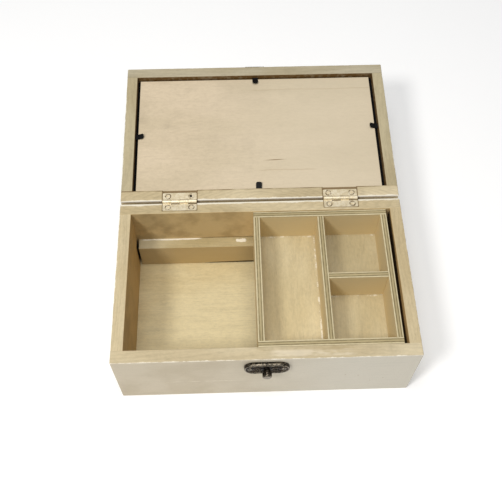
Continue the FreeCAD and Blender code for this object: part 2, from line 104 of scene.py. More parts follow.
# ---- materials: one small builder of node trees ------------------------------------------------------
class Surface:
    """A material and short ways to add nodes to it. A socket or a plain value can feed any input."""

    def __init__(self, name):
        self.material = bpy.data.materials.new(name)
        self.material.use_nodes = True
        self.tree = self.material.node_tree
        self.shader = self.tree.nodes["Principled BSDF"]

    def feed(self, socket, value):
        if isinstance(value, bpy.types.NodeSocket):
            self.tree.links.new(value, socket)
        elif value is not None:
            socket.default_value = value

    def node(self, kind, *values, **settings):
        """A new node: values feed its inputs in their order, and settings are its properties."""
        node = self.tree.nodes.new("ShaderNode" + kind)
        for key, value in settings.items():
            setattr(node, key, value)
        for socket, value in zip(node.inputs, values):
            self.feed(socket, value)
        return node

    def math(self, operation, *values):
        return self.node("Math", *values, operation=operation).outputs[0]

    def plus(self, first, second):
        return self.math("ADD", first, second)

    def minus(self, first, second):
        return self.math("SUBTRACT", first, second)

    def times(self, first, *others):
        for other in others:
            first = self.math("MULTIPLY", first, other)
        return first

    def gap(self, first, second):
        """How far apart two values are."""
        return self.math("ABSOLUTE", self.minus(first, second))

    def vector(self, operation, *values):
        return self.node("VectorMath", *values, operation=operation).outputs[0]

    def length(self, place):
        return self.node("VectorMath", place, operation="LENGTH").outputs["Value"]

    def parts(self, place):
        """A vector's coordinates, by their axis."""
        return dict(zip(AXES, self.node("SeparateXYZ", place).outputs))

    def normal(self):
        """The coordinates of the surface's own normal."""
        return self.parts(self.node("TexCoord").outputs["Normal"])

    def noise(self, place, scale, detail=2.0, roughness=0.5):
        node = self.node("TexNoise")
        self.feed(node.inputs["Vector"], place)
        self.feed(node.inputs["Scale"], scale)
        self.feed(node.inputs["Detail"], detail)
        self.feed(node.inputs["Roughness"], roughness)
        return node.outputs["Fac"]

    def steps(self, value, low, high, to_low=0.0, to_high=1.0):
        """A smooth step: to_low below low, to_high above high."""
        node = self.node("MapRange", value, low, high, to_low, to_high)
        node.interpolation_type = "SMOOTHSTEP"
        return node.outputs[0]

    def band(self, value, middle, width, soft):
        """1 within width of middle, falling to 0 over soft."""
        return self.steps(self.gap(value, middle), width, width + soft, 1.0, 0.0)

    def mix(self, share, first, second, blend="MIX"):
        node = self.node("Mix", data_type="RGBA", blend_type=blend)
        self.feed(node.inputs[0], share)
        self.feed(node.inputs[6], first)
        self.feed(node.inputs[7], second)
        return node.outputs[2]

    def shade(self, base, share, factor):
        """base multiplied by factor (a grey level), by share."""
        return self.mix(share, base, (factor, factor, factor, 1.0), "MULTIPLY")

    def bump(self, height, strength, distance):
        node = self.node("Bump")
        self.feed(node.inputs["Strength"], strength)
        self.feed(node.inputs["Distance"], distance)
        self.feed(node.inputs["Height"], height)
        self.feed(self.shader.inputs["Normal"], node.outputs[0])

    def millimetres(self, in_lid=False):
        """Where the point is on the shut box, in millimetres."""
        place = self.node("TexCoord").outputs["Object"]
        if in_lid:
            turn = Matrix.Rotation(LID_OPEN, 3, "X")
            mapping = self.node("Mapping", place)
            mapping.inputs["Location"].default_value = LID_AXIS - turn @ LID_AXIS
            mapping.inputs["Rotation"].default_value = (LID_OPEN, 0, 0)
            place = mapping.outputs[0]
        return self.vector("SCALE", place, None, None, 1 / MM)

    def finish(self, base, roughness, **sockets):
        self.feed(self.shader.inputs["Base Color"], base)
        self.feed(self.shader.inputs["Roughness"], roughness)
        for name, value in sockets.items():
            self.feed(self.shader.inputs[name.replace("_", " ")], value)
        return self.material


def along_grain(s, place, grain, squeeze):
    """place with the grain direction squeezed, so that a texture is drawn out along the grain."""
    return s.vector("MULTIPLY", place, [squeeze if axis == grain else 1.0 for axis in AXES])


def patch(s, parts, soft, **limits):
    """1 inside a box such as x=(2, 9), fading to 0 over soft outside it."""
    shares = [s.band(parts[axis], (low + high) / 2, (high - low) / 2, soft)
              for axis, (low, high) in limits.items()]
    return s.times(*shares)


def arris(s, parts, wander, reach, **lines):
    """1 along an edge, where two of the point's coordinates are both within reach of the values."""
    away = s.math("MAXIMUM", *(s.gap(parts[axis], value) for axis, value in lines.items()))
    return s.steps(s.plus(away, wander), reach, reach + 0.55, 1.0, 0.0)


def dress(node, material):
    """Gives a CAD node its material in every slot."""
    mesh = nodes[node].data
    mesh.materials.clear()
    mesh.materials.append(material)


# ---- wood --------------------------------------------------------------------------------------------
# Tones in pairs are the lighter and the darker one that clouds of colour run between.
CARCASS_TONES = (colour(213, 196, 159), colour(195, 176, 136))
FRONT_TONES = (colour(216, 201, 167), colour(200, 183, 147))
LEDGE_TONES = (colour(196, 180, 140), colour(176, 158, 114))
NEAR_RAIL_TONES = (colour(219, 203, 168), colour(199, 181, 143))
FAR_RAIL_TONES = (colour(195, 185, 159), colour(178, 165, 134))
END_RAIL_TONES = (colour(193, 180, 146), colour(176, 160, 124))
STRIP_TONES = (colour(210, 195, 160), colour(194, 176, 138))
# the front faces, painted paler and greyer as lit from the front
FRONT_LIT_TONES = (colour(207, 195, 172), colour(197, 184, 159))
PANEL_TONES = (colour(218, 200, 171), colour(208, 191, 161))
FLOOR_TONES = (colour(222, 207, 165), colour(209, 191, 146))
TRAY_TONES = (colour(192, 176, 135), colour(174, 158, 117))
TRAY_FLOOR_TONES = (colour(220, 205, 166), colour(207, 190, 148))
# the right end of the front faces, painted paler still
FRONT_LIT_RIGHT = colour(213, 207, 192)
PANEL_RIGHT = colour(212, 199, 173)
# the ledge's browner front face, painted lighter for the light on it
LEDGE_FACE_AS_LIT = colour(208, 181, 129)
LEDGE_LEFT = colour(186, 178, 154)
# the tray's sides, browner and painted lighter for the light inside the tray
TRAY_SIDE_AS_LIT = colour(228, 207, 160)
# browner tones of the box's inner faces with painted light and shade: the end walls' darker, as painted
# shade
INNER_BACK_AS_LIT = colour(221, 194, 141)
INNER_END_AS_LIT = colour(197, 163, 105)
WORN = colour(246, 240, 224)
# painted highlight along the top of the lid's outer back face
BACK_FACE_HIGHLIGHT = colour(232, 224, 214)
FILLER = colour(236, 224, 200)
VENEER_EDGE = colour(236, 224, 190)
RIM_DIRT = colour(158, 138, 96)
GLUE_LINE = colour(104, 90, 56)
DARK_GRAIN = colour(150, 118, 70)
SPLIT = colour(120, 88, 48)
# dark brown of the lid's rabbet and the cut glue, and of the painted shade in the hinge mortises and along
# the lid panel's edge
DEEP_BROWN = colour(104, 76, 36)
# painted shadow for the slits and gaps between parts
GAP_SHADE = colour(44, 32, 18)

RING_SPACING = 2.7
SEED_STRIDE = Vector((37.0, 91.0, 53.0))     # how far a board of the next seed lies in the textures
GENTLE_BOW = (20.0, 40.0, 0.08)
EDGE_WEAR, EDGE_REACH = 0.38, 0.45


def ring_place(s, mm, drawn, grain, pith, bow, figure):
    """How many growth rings a point of a solid board lies from the pith."""
    across = dict(zip([axis for axis in AXES if axis != grain], pith))
    centre = [across.get(axis, 0.0) for axis in AXES]
    flat = [0.0 if axis == grain else 1.0 for axis in AXES]
    distance = s.length(s.vector("MULTIPLY", s.vector("SUBTRACT", mm, centre), flat))
    wander = s.times(s.noise(drawn, 0.12, 2.0), 9.0 * figure)
    place, width, slope = bow
    run = s.node("CombineXYZ", s.minus(s.parts(mm)[grain], place), width, 0.0)
    arch = s.times(s.length(run.outputs[0]), slope)
    return s.math("DIVIDE", s.plus(s.plus(distance, wander), arch), RING_SPACING)


def plywood(s, base, parts, drawn, plies):
    """Adds the layers that show on a sheet's edges: dark cross plies and pale outer veneers."""
    axis, middle, thickness = plies
    layer = s.math("DIVIDE", s.gap(parts[axis], middle), thickness)
    grime = s.steps(s.noise(drawn, 0.9, 4.0, 0.65), 0.3, 0.62, 0.45, 1.0)
    cross = s.times(s.steps(layer, 0.45, 0.7), s.steps(layer, 1.35, 1.6, 1.0, 0.0))
    base = s.mix(s.times(cross, grime, 0.75), base, GLUE_LINE)
    skin = s.times(s.steps(layer, 1.5, 1.75), s.steps(layer, 2.42, 2.49, 1.0, 0.0))
    return s.mix(s.times(skin, grime, 0.55), base, VENEER_EDGE)


def wood(name, grain, seed, tones, in_lid=False, pith=None, bow=GENTLE_BOW, plies=None, inside=None,
         figure=1.0, details=None):
    """Raw wood whose fibres run along grain. pith is the heart of a solid board's growth rings, as the
    two coordinates across the grain; a sliced veneer has none. bow is (place, width, slope): the rings
    lie in nested arches about that place along the grain, as in a flat-sawn board. plies is (axis,
    middle, ply thickness) for plywood. inside is (axis, inner face, tone) for a wall whose inner face
    has a browner tone of its own, with painted light and shade: the back wall's is set for the light it
    gets, and the end walls' is darker, as painted shade. figure scales the grain's contrast. details is a
    function that adds the marks found on this piece: it takes the surface, the point's coordinates, the
    board's place in the textures and the colour so far, and returns the new colour."""
    s = Surface(name)
    mm = s.millimetres(in_lid)
    parts = s.parts(mm)
    shifted = s.vector("ADD", mm, seed * SEED_STRIDE)
    drawn = along_grain(s, shifted, grain, 0.07)
    clouds = s.noise(along_grain(s, shifted, grain, 0.3), 0.028, 3.0, 0.55)
    streaks = s.noise(drawn, 0.16, 3.0, 0.6)
    fibres = s.noise(along_grain(s, shifted, grain, 0.05), 1.3, 4.0, 0.7)
    mottle = s.noise(along_grain(s, shifted, grain, 0.5), 0.55, 4.0, 0.75)
    smudges = s.noise(shifted, 0.05, 4.0, 0.6)
    pores = s.noise(along_grain(s, shifted, grain, 0.06), 2.4, 1.0, 0.5)
    if pith is None:
        # a veneer's figure is the contour lines of a drawn-out field
        field = s.noise(along_grain(s, shifted, grain, 0.16), 0.022, 2.0, 0.45)
        ring, strength = s.times(field, 26.0), 0.22
    else:
        ring, strength = ring_place(s, mm, drawn, grain, pith, bow, figure), 0.5
    phase = s.math("FRACT", ring)
    rings = s.times(s.steps(phase, 0.35, 0.9), s.steps(phase, 0.92, 1.0, 1.0, 0.0))

    base = s.mix(s.steps(clouds, 0.36, 0.64), *tones)
    base = s.shade(base, s.steps(streaks, 0.45, 0.75, 0.0, figure), 0.93)
    base = s.shade(base, s.steps(mottle, 0.38, 0.66), 0.915)
    base = s.shade(base, s.steps(smudges, 0.55, 0.72), 0.92)
    base = s.shade(base, s.times(rings, figure * strength), 0.87)
    base = s.shade(base, s.steps(fibres, 0.45, 0.75, 0.0, figure), 0.9)
    base = s.shade(base, s.steps(pores, 0.66, 0.74, 0.0, 0.7 * figure), 0.78)
    if plies is not None:
        base = plywood(s, base, parts, along_grain(s, shifted, grain, 0.25), plies)
    else:
        # end grain drinks light: the faces that the fibres run out of are darker
        base = s.shade(base, s.steps(s.math("ABSOLUTE", s.normal()[grain]), 0.6, 0.9), 0.84)
    if inside is not None:
        # the inner face's own browner tone, with painted light and shade
        axis, face, tone = inside
        share = s.steps(s.math("ABSOLUTE", parts[axis]), face + 0.02, face + 0.3, 0.85, 0.0)
        base = s.mix(share, base, s.mix(s.steps(smudges, 0.4, 0.7, 0.0, 0.45), tone, DARK_GRAIN))
    if details is not None:
        base = details(s, parts, shifted, base)
    s.bump(s.plus(fibres, s.times(rings, 0.35)), 0.22, 0.0003)
    return s.finish(base, s.steps(fibres, 0.3, 0.7, 0.72, 0.58), Specular_IOR_Level=0.3)


# ---- marks that more than one piece has --------------------------------------------------------------
def worn_and_lit_edges(*edges, wear=EDGE_WEAR, reach=EDGE_REACH):
    """Details that lighten the named outer edges, as wear and painted highlight, in stretches that are
    longer the greater the wear.
    """
    def add(s, parts, shifted, base):
        rub = s.noise(shifted, 0.11, 4.0, 0.7)
        fray = s.times(s.minus(1.0 - wear, rub), 3.2)
        for lines in edges:
            base = s.mix(s.times(arris(s, parts, fray, reach, **lines), 0.68), base, WORN)
        return base
    return add


def front_lit_grey(s, parts, shifted):
    """Painted light on the box's front faces: the wood painted paler and greyer, as the light from the
    front shows it, and paler still towards the right.
    """
    face = s.mix(s.steps(s.noise(shifted, 0.03, 3.0, 0.6), 0.35, 0.65), *FRONT_LIT_TONES)
    face = s.mix(s.steps(parts["x"], -60, 75, 0.0, 0.9), face, FRONT_LIT_RIGHT)
    streaks = s.noise(along_grain(s, shifted, "x", 0.04), 0.7, 4.0, 0.65)
    face = s.shade(face, s.steps(streaks, 0.48, 0.75), 0.93)
    speckle = s.noise(shifted, 0.6, 4.0, 0.75)
    return s.mix(s.steps(speckle, 0.5, 0.68, 0.0, 0.5), face, s.shade(face, 1.0, 0.88))


def on_front(s, parts):
    """1 on the box's outer front face, 0 behind it."""
    return s.steps(parts["y"], -HALF_Y + 0.1, -HALF_Y + 0.5, 1.0, 0.0)


def mortise_shade(s, parts, base, share, aside, inward, rim):
    """Painted shade in the hinge mortises, brown, which shows as an outline round each leaf: aside and
    inward are how far it spreads from the leaf's ends and from its far edge."""
    across = s.gap(s.math("ABSOLUTE", parts["x"]), HINGE_MIDDLE)
    from_pin = s.minus(PIN_Y, parts["y"])
    beyond = s.math("MAXIMUM", s.minus(across, LEAF_HIGH.x - HINGE_MIDDLE + aside),
                    s.minus(from_pin, PIN_Y - LEAF_LOW.y + inward))
    at_rim = s.band(parts["z"], rim, 2.0, 0.3)
    return s.mix(s.times(s.steps(beyond, 0.0, 0.5, share, 0.0), at_rim), base, DEEP_BROWN)


# ---- the base ----------------------------------------------------------------------------------------
# Where the base's marks lie, in millimetres: a level, or a pair of limits along the named axis.
SCRATCH_Z, SCRATCH_X = 28.6, (-72, -22)
PIN_HOLES = {"x": (62, 92), "z": (22, 34)}
RIM_DIRT_X, RIM_DIRT_Y = (-4, 62), (-INNER_Y - 2.0, -INNER_Y)
FILLER_X, FILLER_Y = (8, 60), (-66.5, -63.5)
CUT_GLUE_Z = 31.6
LEDGE_SLIT = {"x": (-INNER_X - 1.0, -INNER_X + 1.0), "y": (50.5, 60.5), "z": (6.0, 31.0)}
SAPWOOD_Y, SAPWOOD_X = 59.8, (-98, -54)
GLUE_DAB_X, GLUE_DAB_Y = (-19, -14), (55.0, 57.0)


def front_marks(s, parts, shifted, base):
    # on the rim in front of the tray, a dark stain along the inner edge and pale smears of filler
    blots = s.noise(along_grain(s, shifted, "x", 0.35), 0.12, 3.0, 0.6)
    stain_and_shade = s.times(patch(s, parts, 6.0, x=RIM_DIRT_X), patch(s, parts, 2.5, y=RIM_DIRT_Y))
    base = s.mix(s.times(stain_and_shade, s.steps(blots, 0.4, 0.6, 0.1, 0.8), 0.6), base, RIM_DIRT)
    smear = s.times(patch(s, parts, 8.0, x=FILLER_X), patch(s, parts, 2.0, y=FILLER_Y))
    base = s.mix(s.times(smear, s.steps(blots, 0.46, 0.62, 0.75, 0.0), 0.6), base, FILLER)
    # on the face, painted paler and greyer as lit from the front, a long pale scratch that comes and goes,
    # and a scatter of pin holes
    face = front_lit_grey(s, parts, shifted)
    wave = s.times(s.minus(s.noise(shifted, 0.03), 0.5), 2.0)
    scratch = s.times(s.band(s.plus(parts["z"], wave), SCRATCH_Z, 0.15, 0.35),
                      patch(s, parts, 9.0, x=SCRATCH_X))
    broken = s.steps(s.noise(shifted, 0.18, 3.0, 0.7), 0.4, 0.6, 0.1, 0.6)
    face = s.mix(s.times(scratch, broken), face, WORN)
    holes = s.node("TexVoronoi")
    s.feed(holes.inputs["Vector"], shifted)
    s.feed(holes.inputs["Scale"], 0.14)
    dots = s.steps(holes.outputs["Distance"], 0.06, 0.1, 1.0, 0.0)
    face = s.mix(s.times(dots, patch(s, parts, 6.0, **PIN_HOLES), 0.6), face, DARK_GRAIN)
    base = s.mix(on_front(s, parts), base, face)
    return worn_and_lit_edges({"y": -HALF_Y, "z": RIM_Z}, {"y": -HALF_Y, "z": 0.0})(s, parts, shifted, base)


def back_marks(s, parts, shifted, base):
    # a wide pale top edge along the hinge seam: wear and painted highlight
    base = worn_and_lit_edges({"y": HALF_Y, "z": RIM_Z}, wear=0.65, reach=1.1)(s, parts, shifted, base)
    # painted shade in the hinge mortises round the base's leaves
    base = mortise_shade(s, parts, base, 0.85, 0.3, 0.3, RIM_Z)
    # on the inner face, cut glue along the top of the ledge and a painted shadow of the left wall near it
    level = s.plus(parts["z"], s.times(s.noise(shifted, 0.2, 3.0), 1.4))
    line = s.times(s.band(level, CUT_GLUE_Z, 0.3, 0.3), s.steps(parts["x"], -62, -40, 0.0, 0.7))
    stain_and_shade = s.times(s.steps(parts["x"], -88, -58, 1.0, 0.0), s.steps(s.noise(shifted, 0.06), 0.3, 0.6))
    marked = s.mix(line, s.shade(base, stain_and_shade, 0.76), DEEP_BROWN)
    return s.mix(s.steps(parts["y"], INNER_Y + 0.05, INNER_Y + 0.3, 1.0, 0.0), base, marked)


def left_marks(s, parts, shifted, base):
    # the slit at the ledge's end is painted black: a painted shadow in the gap
    base = s.mix(patch(s, parts, 0.8, **LEDGE_SLIT), base, GAP_SHADE)
    return worn_and_lit_edges({"x": -HALF_X, "z": RIM_Z})(s, parts, shifted, base)


def right_marks(s, parts, shifted, base):
    # the slit between this wall and the tray is painted black too, a painted shadow below a brown strip
    # that widens to the front
    strip = s.steps(parts["y"], -INNER_Y, INNER_Y, 7.0, 1.0)
    strip = s.plus(strip, s.times(s.noise(shifted, 0.5, 2.0), 2.0))
    below = s.minus(s.minus(RIM_Z, strip), parts["z"])
    slit = s.times(s.steps(below, 0.0, 1.2), s.steps(parts["z"], RIM_Z - 22.0, RIM_Z - 10.0),
                   s.steps(parts["x"], INNER_X + 0.1, INNER_X + 0.4, 1.0, 0.0), 0.92)
    base = s.mix(slit, base, GAP_SHADE)
    return worn_and_lit_edges({"x": HALF_X, "z": RIM_Z})(s, parts, shifted, base)


def ledge_marks(s, parts, shifted, base):
    # a browner front, painted lighter for the light on it, planed sapwood along the back of the top, and a
    # dab of glue
    base = s.mix(s.steps(s.normal()["y"], -0.9, -0.6, 0.8, 0.0), base, LEDGE_FACE_AS_LIT)
    planed = s.band(s.plus(parts["y"], s.times(s.noise(shifted, 0.12), 2.0)), SAPWOOD_Y, 0.6, 0.5)
    base = s.mix(s.times(planed, patch(s, parts, 5.0, x=SAPWOOD_X), 0.8), base, WORN)
    dab = s.times(patch(s, parts, 5.0, x=GLUE_DAB_X), patch(s, parts, 2.0, y=GLUE_DAB_Y), 0.6)
    dab = s.steps(s.plus(dab, s.noise(shifted, 0.4, 4.0, 0.7)), 0.9, 1.05)
    base = s.mix(s.times(dab, 0.75), base, WORN)
    # grey at the far left, painted shade near the tray, and a black painted shadow where the joint with the
    # floor opens like a wedge
    base = s.mix(s.steps(parts["x"], -96, -66, 0.35, 0.0), base, LEDGE_LEFT)
    # painted shade near the tray
    base = s.shade(base, s.steps(parts["x"], -24, -4), 0.86)
    # a black painted shadow where the joint with the floor opens
    opening = s.plus(s.steps(parts["x"], -58, -38, -0.6, 1.6), s.steps(parts["x"], -40, -6, 0.0, 1.2))
    above = s.minus(s.minus(parts["z"], LEDGE_BOTTOM), opening)
    return s.mix(s.steps(above, -0.2, 0.25, 0.9, 0.0), base, GAP_SHADE)


def dress_base():
    dress("base_front_wall", wood("front_board", "x", 1, FRONT_TONES, pith=(-150.0, 20.0),
                                  details=front_marks))
    dress("base_back_wall", wood("back_board", "x", 2, CARCASS_TONES, pith=(90.0, 30.0),
                                 bow=(-5.0, 16.0, 0.3), inside=("y", INNER_Y, INNER_BACK_AS_LIT), figure=1.4,
                                 details=back_marks))
    dress("base_left_wall", wood("left_board", "y", 3, CARCASS_TONES, pith=(-190.0, 30.0),
                                 inside=("x", INNER_X, INNER_END_AS_LIT), details=left_marks))
    dress("base_right_wall", wood("right_board", "y", 4, CARCASS_TONES, pith=(200.0, 10.0),
                                  inside=("x", INNER_X, INNER_END_AS_LIT), details=right_marks))
    dress("base_floor", wood("floor_sheet", "x", 5, FLOOR_TONES))
    dress("rear_tray_ledge", wood("ledge_batten", "x", 6, LEDGE_TONES, pith=(90.0, -12.0),
                                  details=ledge_marks))
    dress("front_tray_ledge", wood("front_ledge_batten", "x", 7, LEDGE_TONES, pith=(-95.0, -9.0)))


# ---- the tray ----------------------------------------------------------------------------------------
TRAY_PLANKS = (("tray_front_wall", "x"), ("tray_back_wall", "x"), ("tray_left_wall", "y"),
               ("tray_right_wall", "y"), ("tray_long_divider", "y"), ("tray_cross_divider", "x"))
FIRST_TRAY_SEED = 11


def tray_sides_as_lit(s, parts, shifted, base):
    """Browner sides under a plank's top edge, also painted lighter: painted light inside the tray."""
    return s.mix(s.steps(parts["z"], RIM_Z - 1.6, RIM_Z - 1.1, 0.8, 0.0), base, TRAY_SIDE_AS_LIT)


def squeezed_glue(s, parts, shifted, base):
    """White glue squeezed out in broken beads along three edges of the tray's floor."""
    beads = s.steps(s.noise(shifted, 0.16, 4.0, 0.7), 0.5, 0.62)
    ragged = s.times(s.noise(shifted, 0.9, 2.0), 1.2)
    whole, small = (TRAY_FLOOR_LOW.x, TRAY_FLOOR_HIGH.x), (DIVIDER_HIGH.x, TRAY_FLOOR_HIGH.x)
    for axis, place, ends in (("y", TRAY_FLOOR_HIGH.y, whole), ("x", DIVIDER_LOW.x, whole),
                              ("y", CROSS_DIVIDER_LOW.y, small)):
        line = s.band(s.plus(parts[axis], ragged), place - 0.1, 0.45, 0.5)
        base = s.mix(s.times(line, patch(s, parts, 0.5, x=ends), beads, 0.75), base, WORN)
    # painted shade towards the back of the sheet; the sheet is also darker towards the right
    base = s.shade(base, s.steps(parts["y"], -30, 55), 0.86)
    return s.shade(base, s.steps(parts["x"], DIVIDER_LOW.x, DIVIDER_HIGH.x), 0.865)


def plies_of(axis, low, high):
    """Where a sheet's plies lie, for wood(): low and high are its corners and axis its thickness's."""
    i = AXES.index(axis)
    return axis, (low[i] + high[i]) / 2, (high[i] - low[i]) / PLIES


def dress_tray():
    for seed, (node, grain) in enumerate(TRAY_PLANKS, FIRST_TRAY_SEED):
        plies = plies_of("y" if grain == "x" else "x", *box_mm(node))
        dress(node, wood(node + "_ply", grain, seed, TRAY_TONES, plies=plies, details=tray_sides_as_lit))
    dress("tray_floor", wood("tray_floor_ply", "y", 17, TRAY_FLOOR_TONES, details=squeezed_glue))


# ---- the lid -----------------------------------------------------------------------------------------
# (side, grain, seed, tones, pith, outer face) of each rail, and (side, grain, seed, pith) of each strip
RAILS = (("front", "x", 21, FAR_RAIL_TONES, (-160.0, 150.0), {"y": -HALF_Y}),
         ("back", "x", 22, NEAR_RAIL_TONES, (150.0, 140.0), {"y": HALF_Y}),
         ("left", "y", 23, END_RAIL_TONES, (-180.0, 150.0), {"x": -HALF_X}),
         ("right", "y", 24, END_RAIL_TONES, (190.0, 160.0), {"x": HALF_X}))
STRIPS = (("front", "x", 25, (-110.0, 160.0)), ("back", "x", 26, (120.0, 165.0)),
          ("left", "y", 27, (-160.0, 170.0)), ("right", "y", 28, (150.0, 175.0)))
PANEL_CLOUD = {"x": (-26, 4), "y": (-56, -38)}
PANEL_STREAKS = ((-46.0, (0, 100), 0.2), (39.0, (6, 44), 0.25))     # (place in y, limits in x, strength)
SPLIT_X, SPLIT_Y, SPLIT_REACH = 14.0, 29.4, 11.0


def rail_marks(side, outer_face):
    """The details of the lid's rail at that side."""
    # the back rail's outer edges are wider and paler: wear and painted highlight along the hinge seam
    wear, reach = (0.45, 0.8) if side == "back" else (EDGE_WEAR, EDGE_REACH)
    worn_and_lit = worn_and_lit_edges({**outer_face, "z": LID_RIM}, {**outer_face, "z": LID_OUTSIDE},
                      wear=wear, reach=reach)
    axis, face = ("x", INNER_X) if "x" in outer_face else ("y", INNER_Y)

    def add(s, parts, shifted, base):
        if side == "front":
            # the front face, painted paler and greyer as lit from the front, as on the box
            base = s.mix(on_front(s, parts), base, front_lit_grey(s, parts, shifted))
        # the rabbet that takes the panel is dark brown
        rabbet_brown = s.steps(s.math("ABSOLUTE", parts[axis]), face + 0.02, face + 0.25, 1.0, 0.0)
        rabbet_brown = s.times(rabbet_brown, s.steps(s.noise(shifted, 0.3, 3.0), 0.3, 0.6, 0.75, 1.0))
        base = s.mix(rabbet_brown, worn_and_lit(s, parts, shifted, base), DEEP_BROWN)
        return hinge_side(s, parts, shifted, base) if side == "back" else base
    return add


def hinge_side(s, parts, shifted, base):
    """The rail with the hinges: a painted highlight along the top of its outer face, painted shade where it
    meets the panel, and painted shade in the mortises.
    """
    # a pale band painted along the top of the outer back face: painted highlight
    ragged = s.plus(parts["z"], s.times(s.noise(shifted, 0.25, 4.0, 0.7), 3.0))
    lit_band = s.times(s.steps(ragged, LID_RIM + 2.2, LID_RIM + 4.2, 0.75, 0.0),
                     s.steps(parts["y"], HALF_Y - 0.4, HALF_Y - 0.1))
    base = s.mix(lit_band, base, BACK_FACE_HIGHLIGHT)
    # painted shade along the inner edge, where the rail meets the panel
    joint = s.times(arris(s, parts, 0.0, 0.7, y=INNER_Y, z=LID_RIM),
                    s.steps(s.noise(shifted, 0.05, 3.0), 0.35, 0.6, 0.1, 0.75))
    # painted shade in the hinge mortises round the lid's leaves
    return mortise_shade(s, parts, s.mix(joint, base, DEEP_BROWN), 0.75, 0.6, 2.3, LID_RIM)


def panel_marks(s, parts, shifted, base):
    # rosier on the left, greyer on the right, and a darker cloud at the far middle
    base = s.mix(s.steps(parts["x"], -75, 60, 0.0, 0.6), base, PANEL_RIGHT)
    base = s.shade(base, s.times(patch(s, parts, 16.0, **PANEL_CLOUD), 0.7), 0.95)
    level = s.plus(parts["y"], s.times(s.minus(s.noise(shifted, 0.05), 0.5), 3.0))
    for middle, ends, strength in PANEL_STREAKS:
        streak = s.times(s.band(level, middle, 0.1, 0.6), patch(s, parts, 8.0, x=ends), strength)
        base = s.mix(streak, base, DARK_GRAIN)
    # a short dark split that tapers to both ends
    reach = s.gap(parts["x"], SPLIT_X)
    half = s.steps(reach, 0.0, SPLIT_REACH, 0.36, 0.0)
    away = s.gap(s.plus(parts["y"], s.times(parts["x"], 0.03)), SPLIT_Y)
    split = s.steps(s.minus(away, half), -0.1, 0.15, 1.0, 0.0)
    split = s.times(split, s.steps(reach, SPLIT_REACH - 2.0, SPLIT_REACH, 1.0, 0.0), 0.85)
    return s.mix(split, base, SPLIT)


def dress_lid():
    for side, grain, seed, tones, pith, outer_face in RAILS:
        figure, bow = (1.5, (0.0, 14.0, 0.35)) if side == "back" else (1.0, GENTLE_BOW)
        dress("lid_" + side + "_rail", wood("lid_" + side + "_board", grain, seed, tones, in_lid=True,
                                            pith=pith, bow=bow, figure=figure,
                                            details=rail_marks(side, outer_face)))
    for side, grain, seed, pith in STRIPS:
        dress("window_" + side + "_strip", wood("window_" + side + "_batten", grain, seed, STRIP_TONES,
                                                in_lid=True, pith=pith))
    dress("lid_back_panel", wood("panel_sheet", "x", 29, PANEL_TONES, in_lid=True, figure=0.6,
                                 plies=plies_of("z", *shut_box_mm("lid_back_panel")), details=panel_marks))


# ---- metal, card, paper, glass -----------------------------------------------------------------------
def brass():
    """Pale lacquered brass, with a brown ring of painted shade round each screw."""
    s = Surface("pale_brass")
    mm = s.millimetres()
    parts = s.parts(mm)
    smudges = s.noise(mm, 0.35, 4.0, 0.65)
    tarnish = s.steps(s.noise(mm, 0.9, 3.0, 0.7), 0.58, 0.72)
    base = s.mix(s.steps(smudges, 0.35, 0.65), colour(238, 226, 198), colour(224, 207, 170))
    base = s.mix(s.times(tarnish, 0.3), base, colour(160, 132, 84))
    # every screw stands at the same distances from its hinge's middle and from the pin line
    across = s.minus(s.gap(s.math("ABSOLUTE", parts["x"]), HINGE_MIDDLE), SCREW_ASIDE)
    along = s.minus(s.gap(parts["y"], PIN_Y), SCREW_FROM_PIN)
    reach = s.length(s.node("CombineXYZ", across, along, 0.0).outputs[0])
    ragged = s.plus(reach, s.times(s.noise(mm, 0.9, 2.0), 0.9))
    # a brown ring of painted shade round each screw head, where a countersink would be
    ring = s.times(s.band(ragged, SCREW_RADIUS + 0.3, 0.2, 0.45),
                   s.steps(s.noise(mm, 0.55, 2.0), 0.38, 0.58, 0.2, 0.95))
    base = s.mix(ring, base, colour(98, 72, 36))
    # one screw of the lid's left leaf has a black pit in its head
    from_pit = s.vector("SUBTRACT", mm, (PIT_X, PIN_Y + SCREW_FROM_PIN, 0.0))
    pit = s.length(s.vector("MULTIPLY", from_pit, (1.0, 1.0, 0.0)))
    base = s.mix(s.steps(pit, 0.9, 1.4, 1.0, 0.0), base, colour(16, 10, 6))
    s.bump(s.minus(smudges, ring), 0.25, 0.0003)
    return s.finish(base, s.steps(smudges, 0.3, 0.7, 0.5, 0.36), Metallic=0.45)


def antique_bronze(name, deep, proud, top_sheen, gloss, in_lid=False):
    """Blackened bronze rubbed bright where the metal stands proud: deep and proud are distances from
    the wood, in millimetres, between which the rubbing starts and is complete. The share after proud is
    that of a grey sheen painted on upward faces, a painted highlight for the light from above, and gloss
    the roughness of the smooth patches."""
    s = Surface(name)
    mm = s.millimetres(in_lid)
    mottle = s.noise(mm, 0.8, 4.0, 0.7)
    specks = s.noise(s.vector("ADD", mm, (31.0, 17.0, 53.0)), 0.85, 3.0, 0.75)
    out = s.minus(-HALF_Y, s.parts(mm)["y"])
    uneven = s.plus(s.minus(mottle, 0.5), s.minus(specks, 0.5))
    rubbed = s.steps(s.plus(out, s.times(uneven, 1.6)), deep, proud)
    base = s.mix(s.steps(mottle, 0.42, 0.62), colour(24, 25, 29), colour(66, 44, 24))
    base = s.mix(s.times(rubbed, 0.85), base, colour(190, 178, 156))
    # a grey sheen painted on upward faces: a painted highlight for the light from above
    dust_and_sheen = s.times(s.steps(s.normal()["z"], 0.45, 0.9), s.steps(mottle, 0.4, 0.6, 0.15, top_sheen))
    base = s.mix(dust_and_sheen, base, colour(160, 150, 132))
    base = s.shade(base, s.steps(specks, 0.48, 0.56), 0.16)
    s.bump(s.plus(mottle, s.times(specks, 0.7)), 0.4, 0.0004)
    return s.finish(base, s.steps(mottle, 0.3, 0.7, gloss + 0.2, gloss), Metallic=0.9)


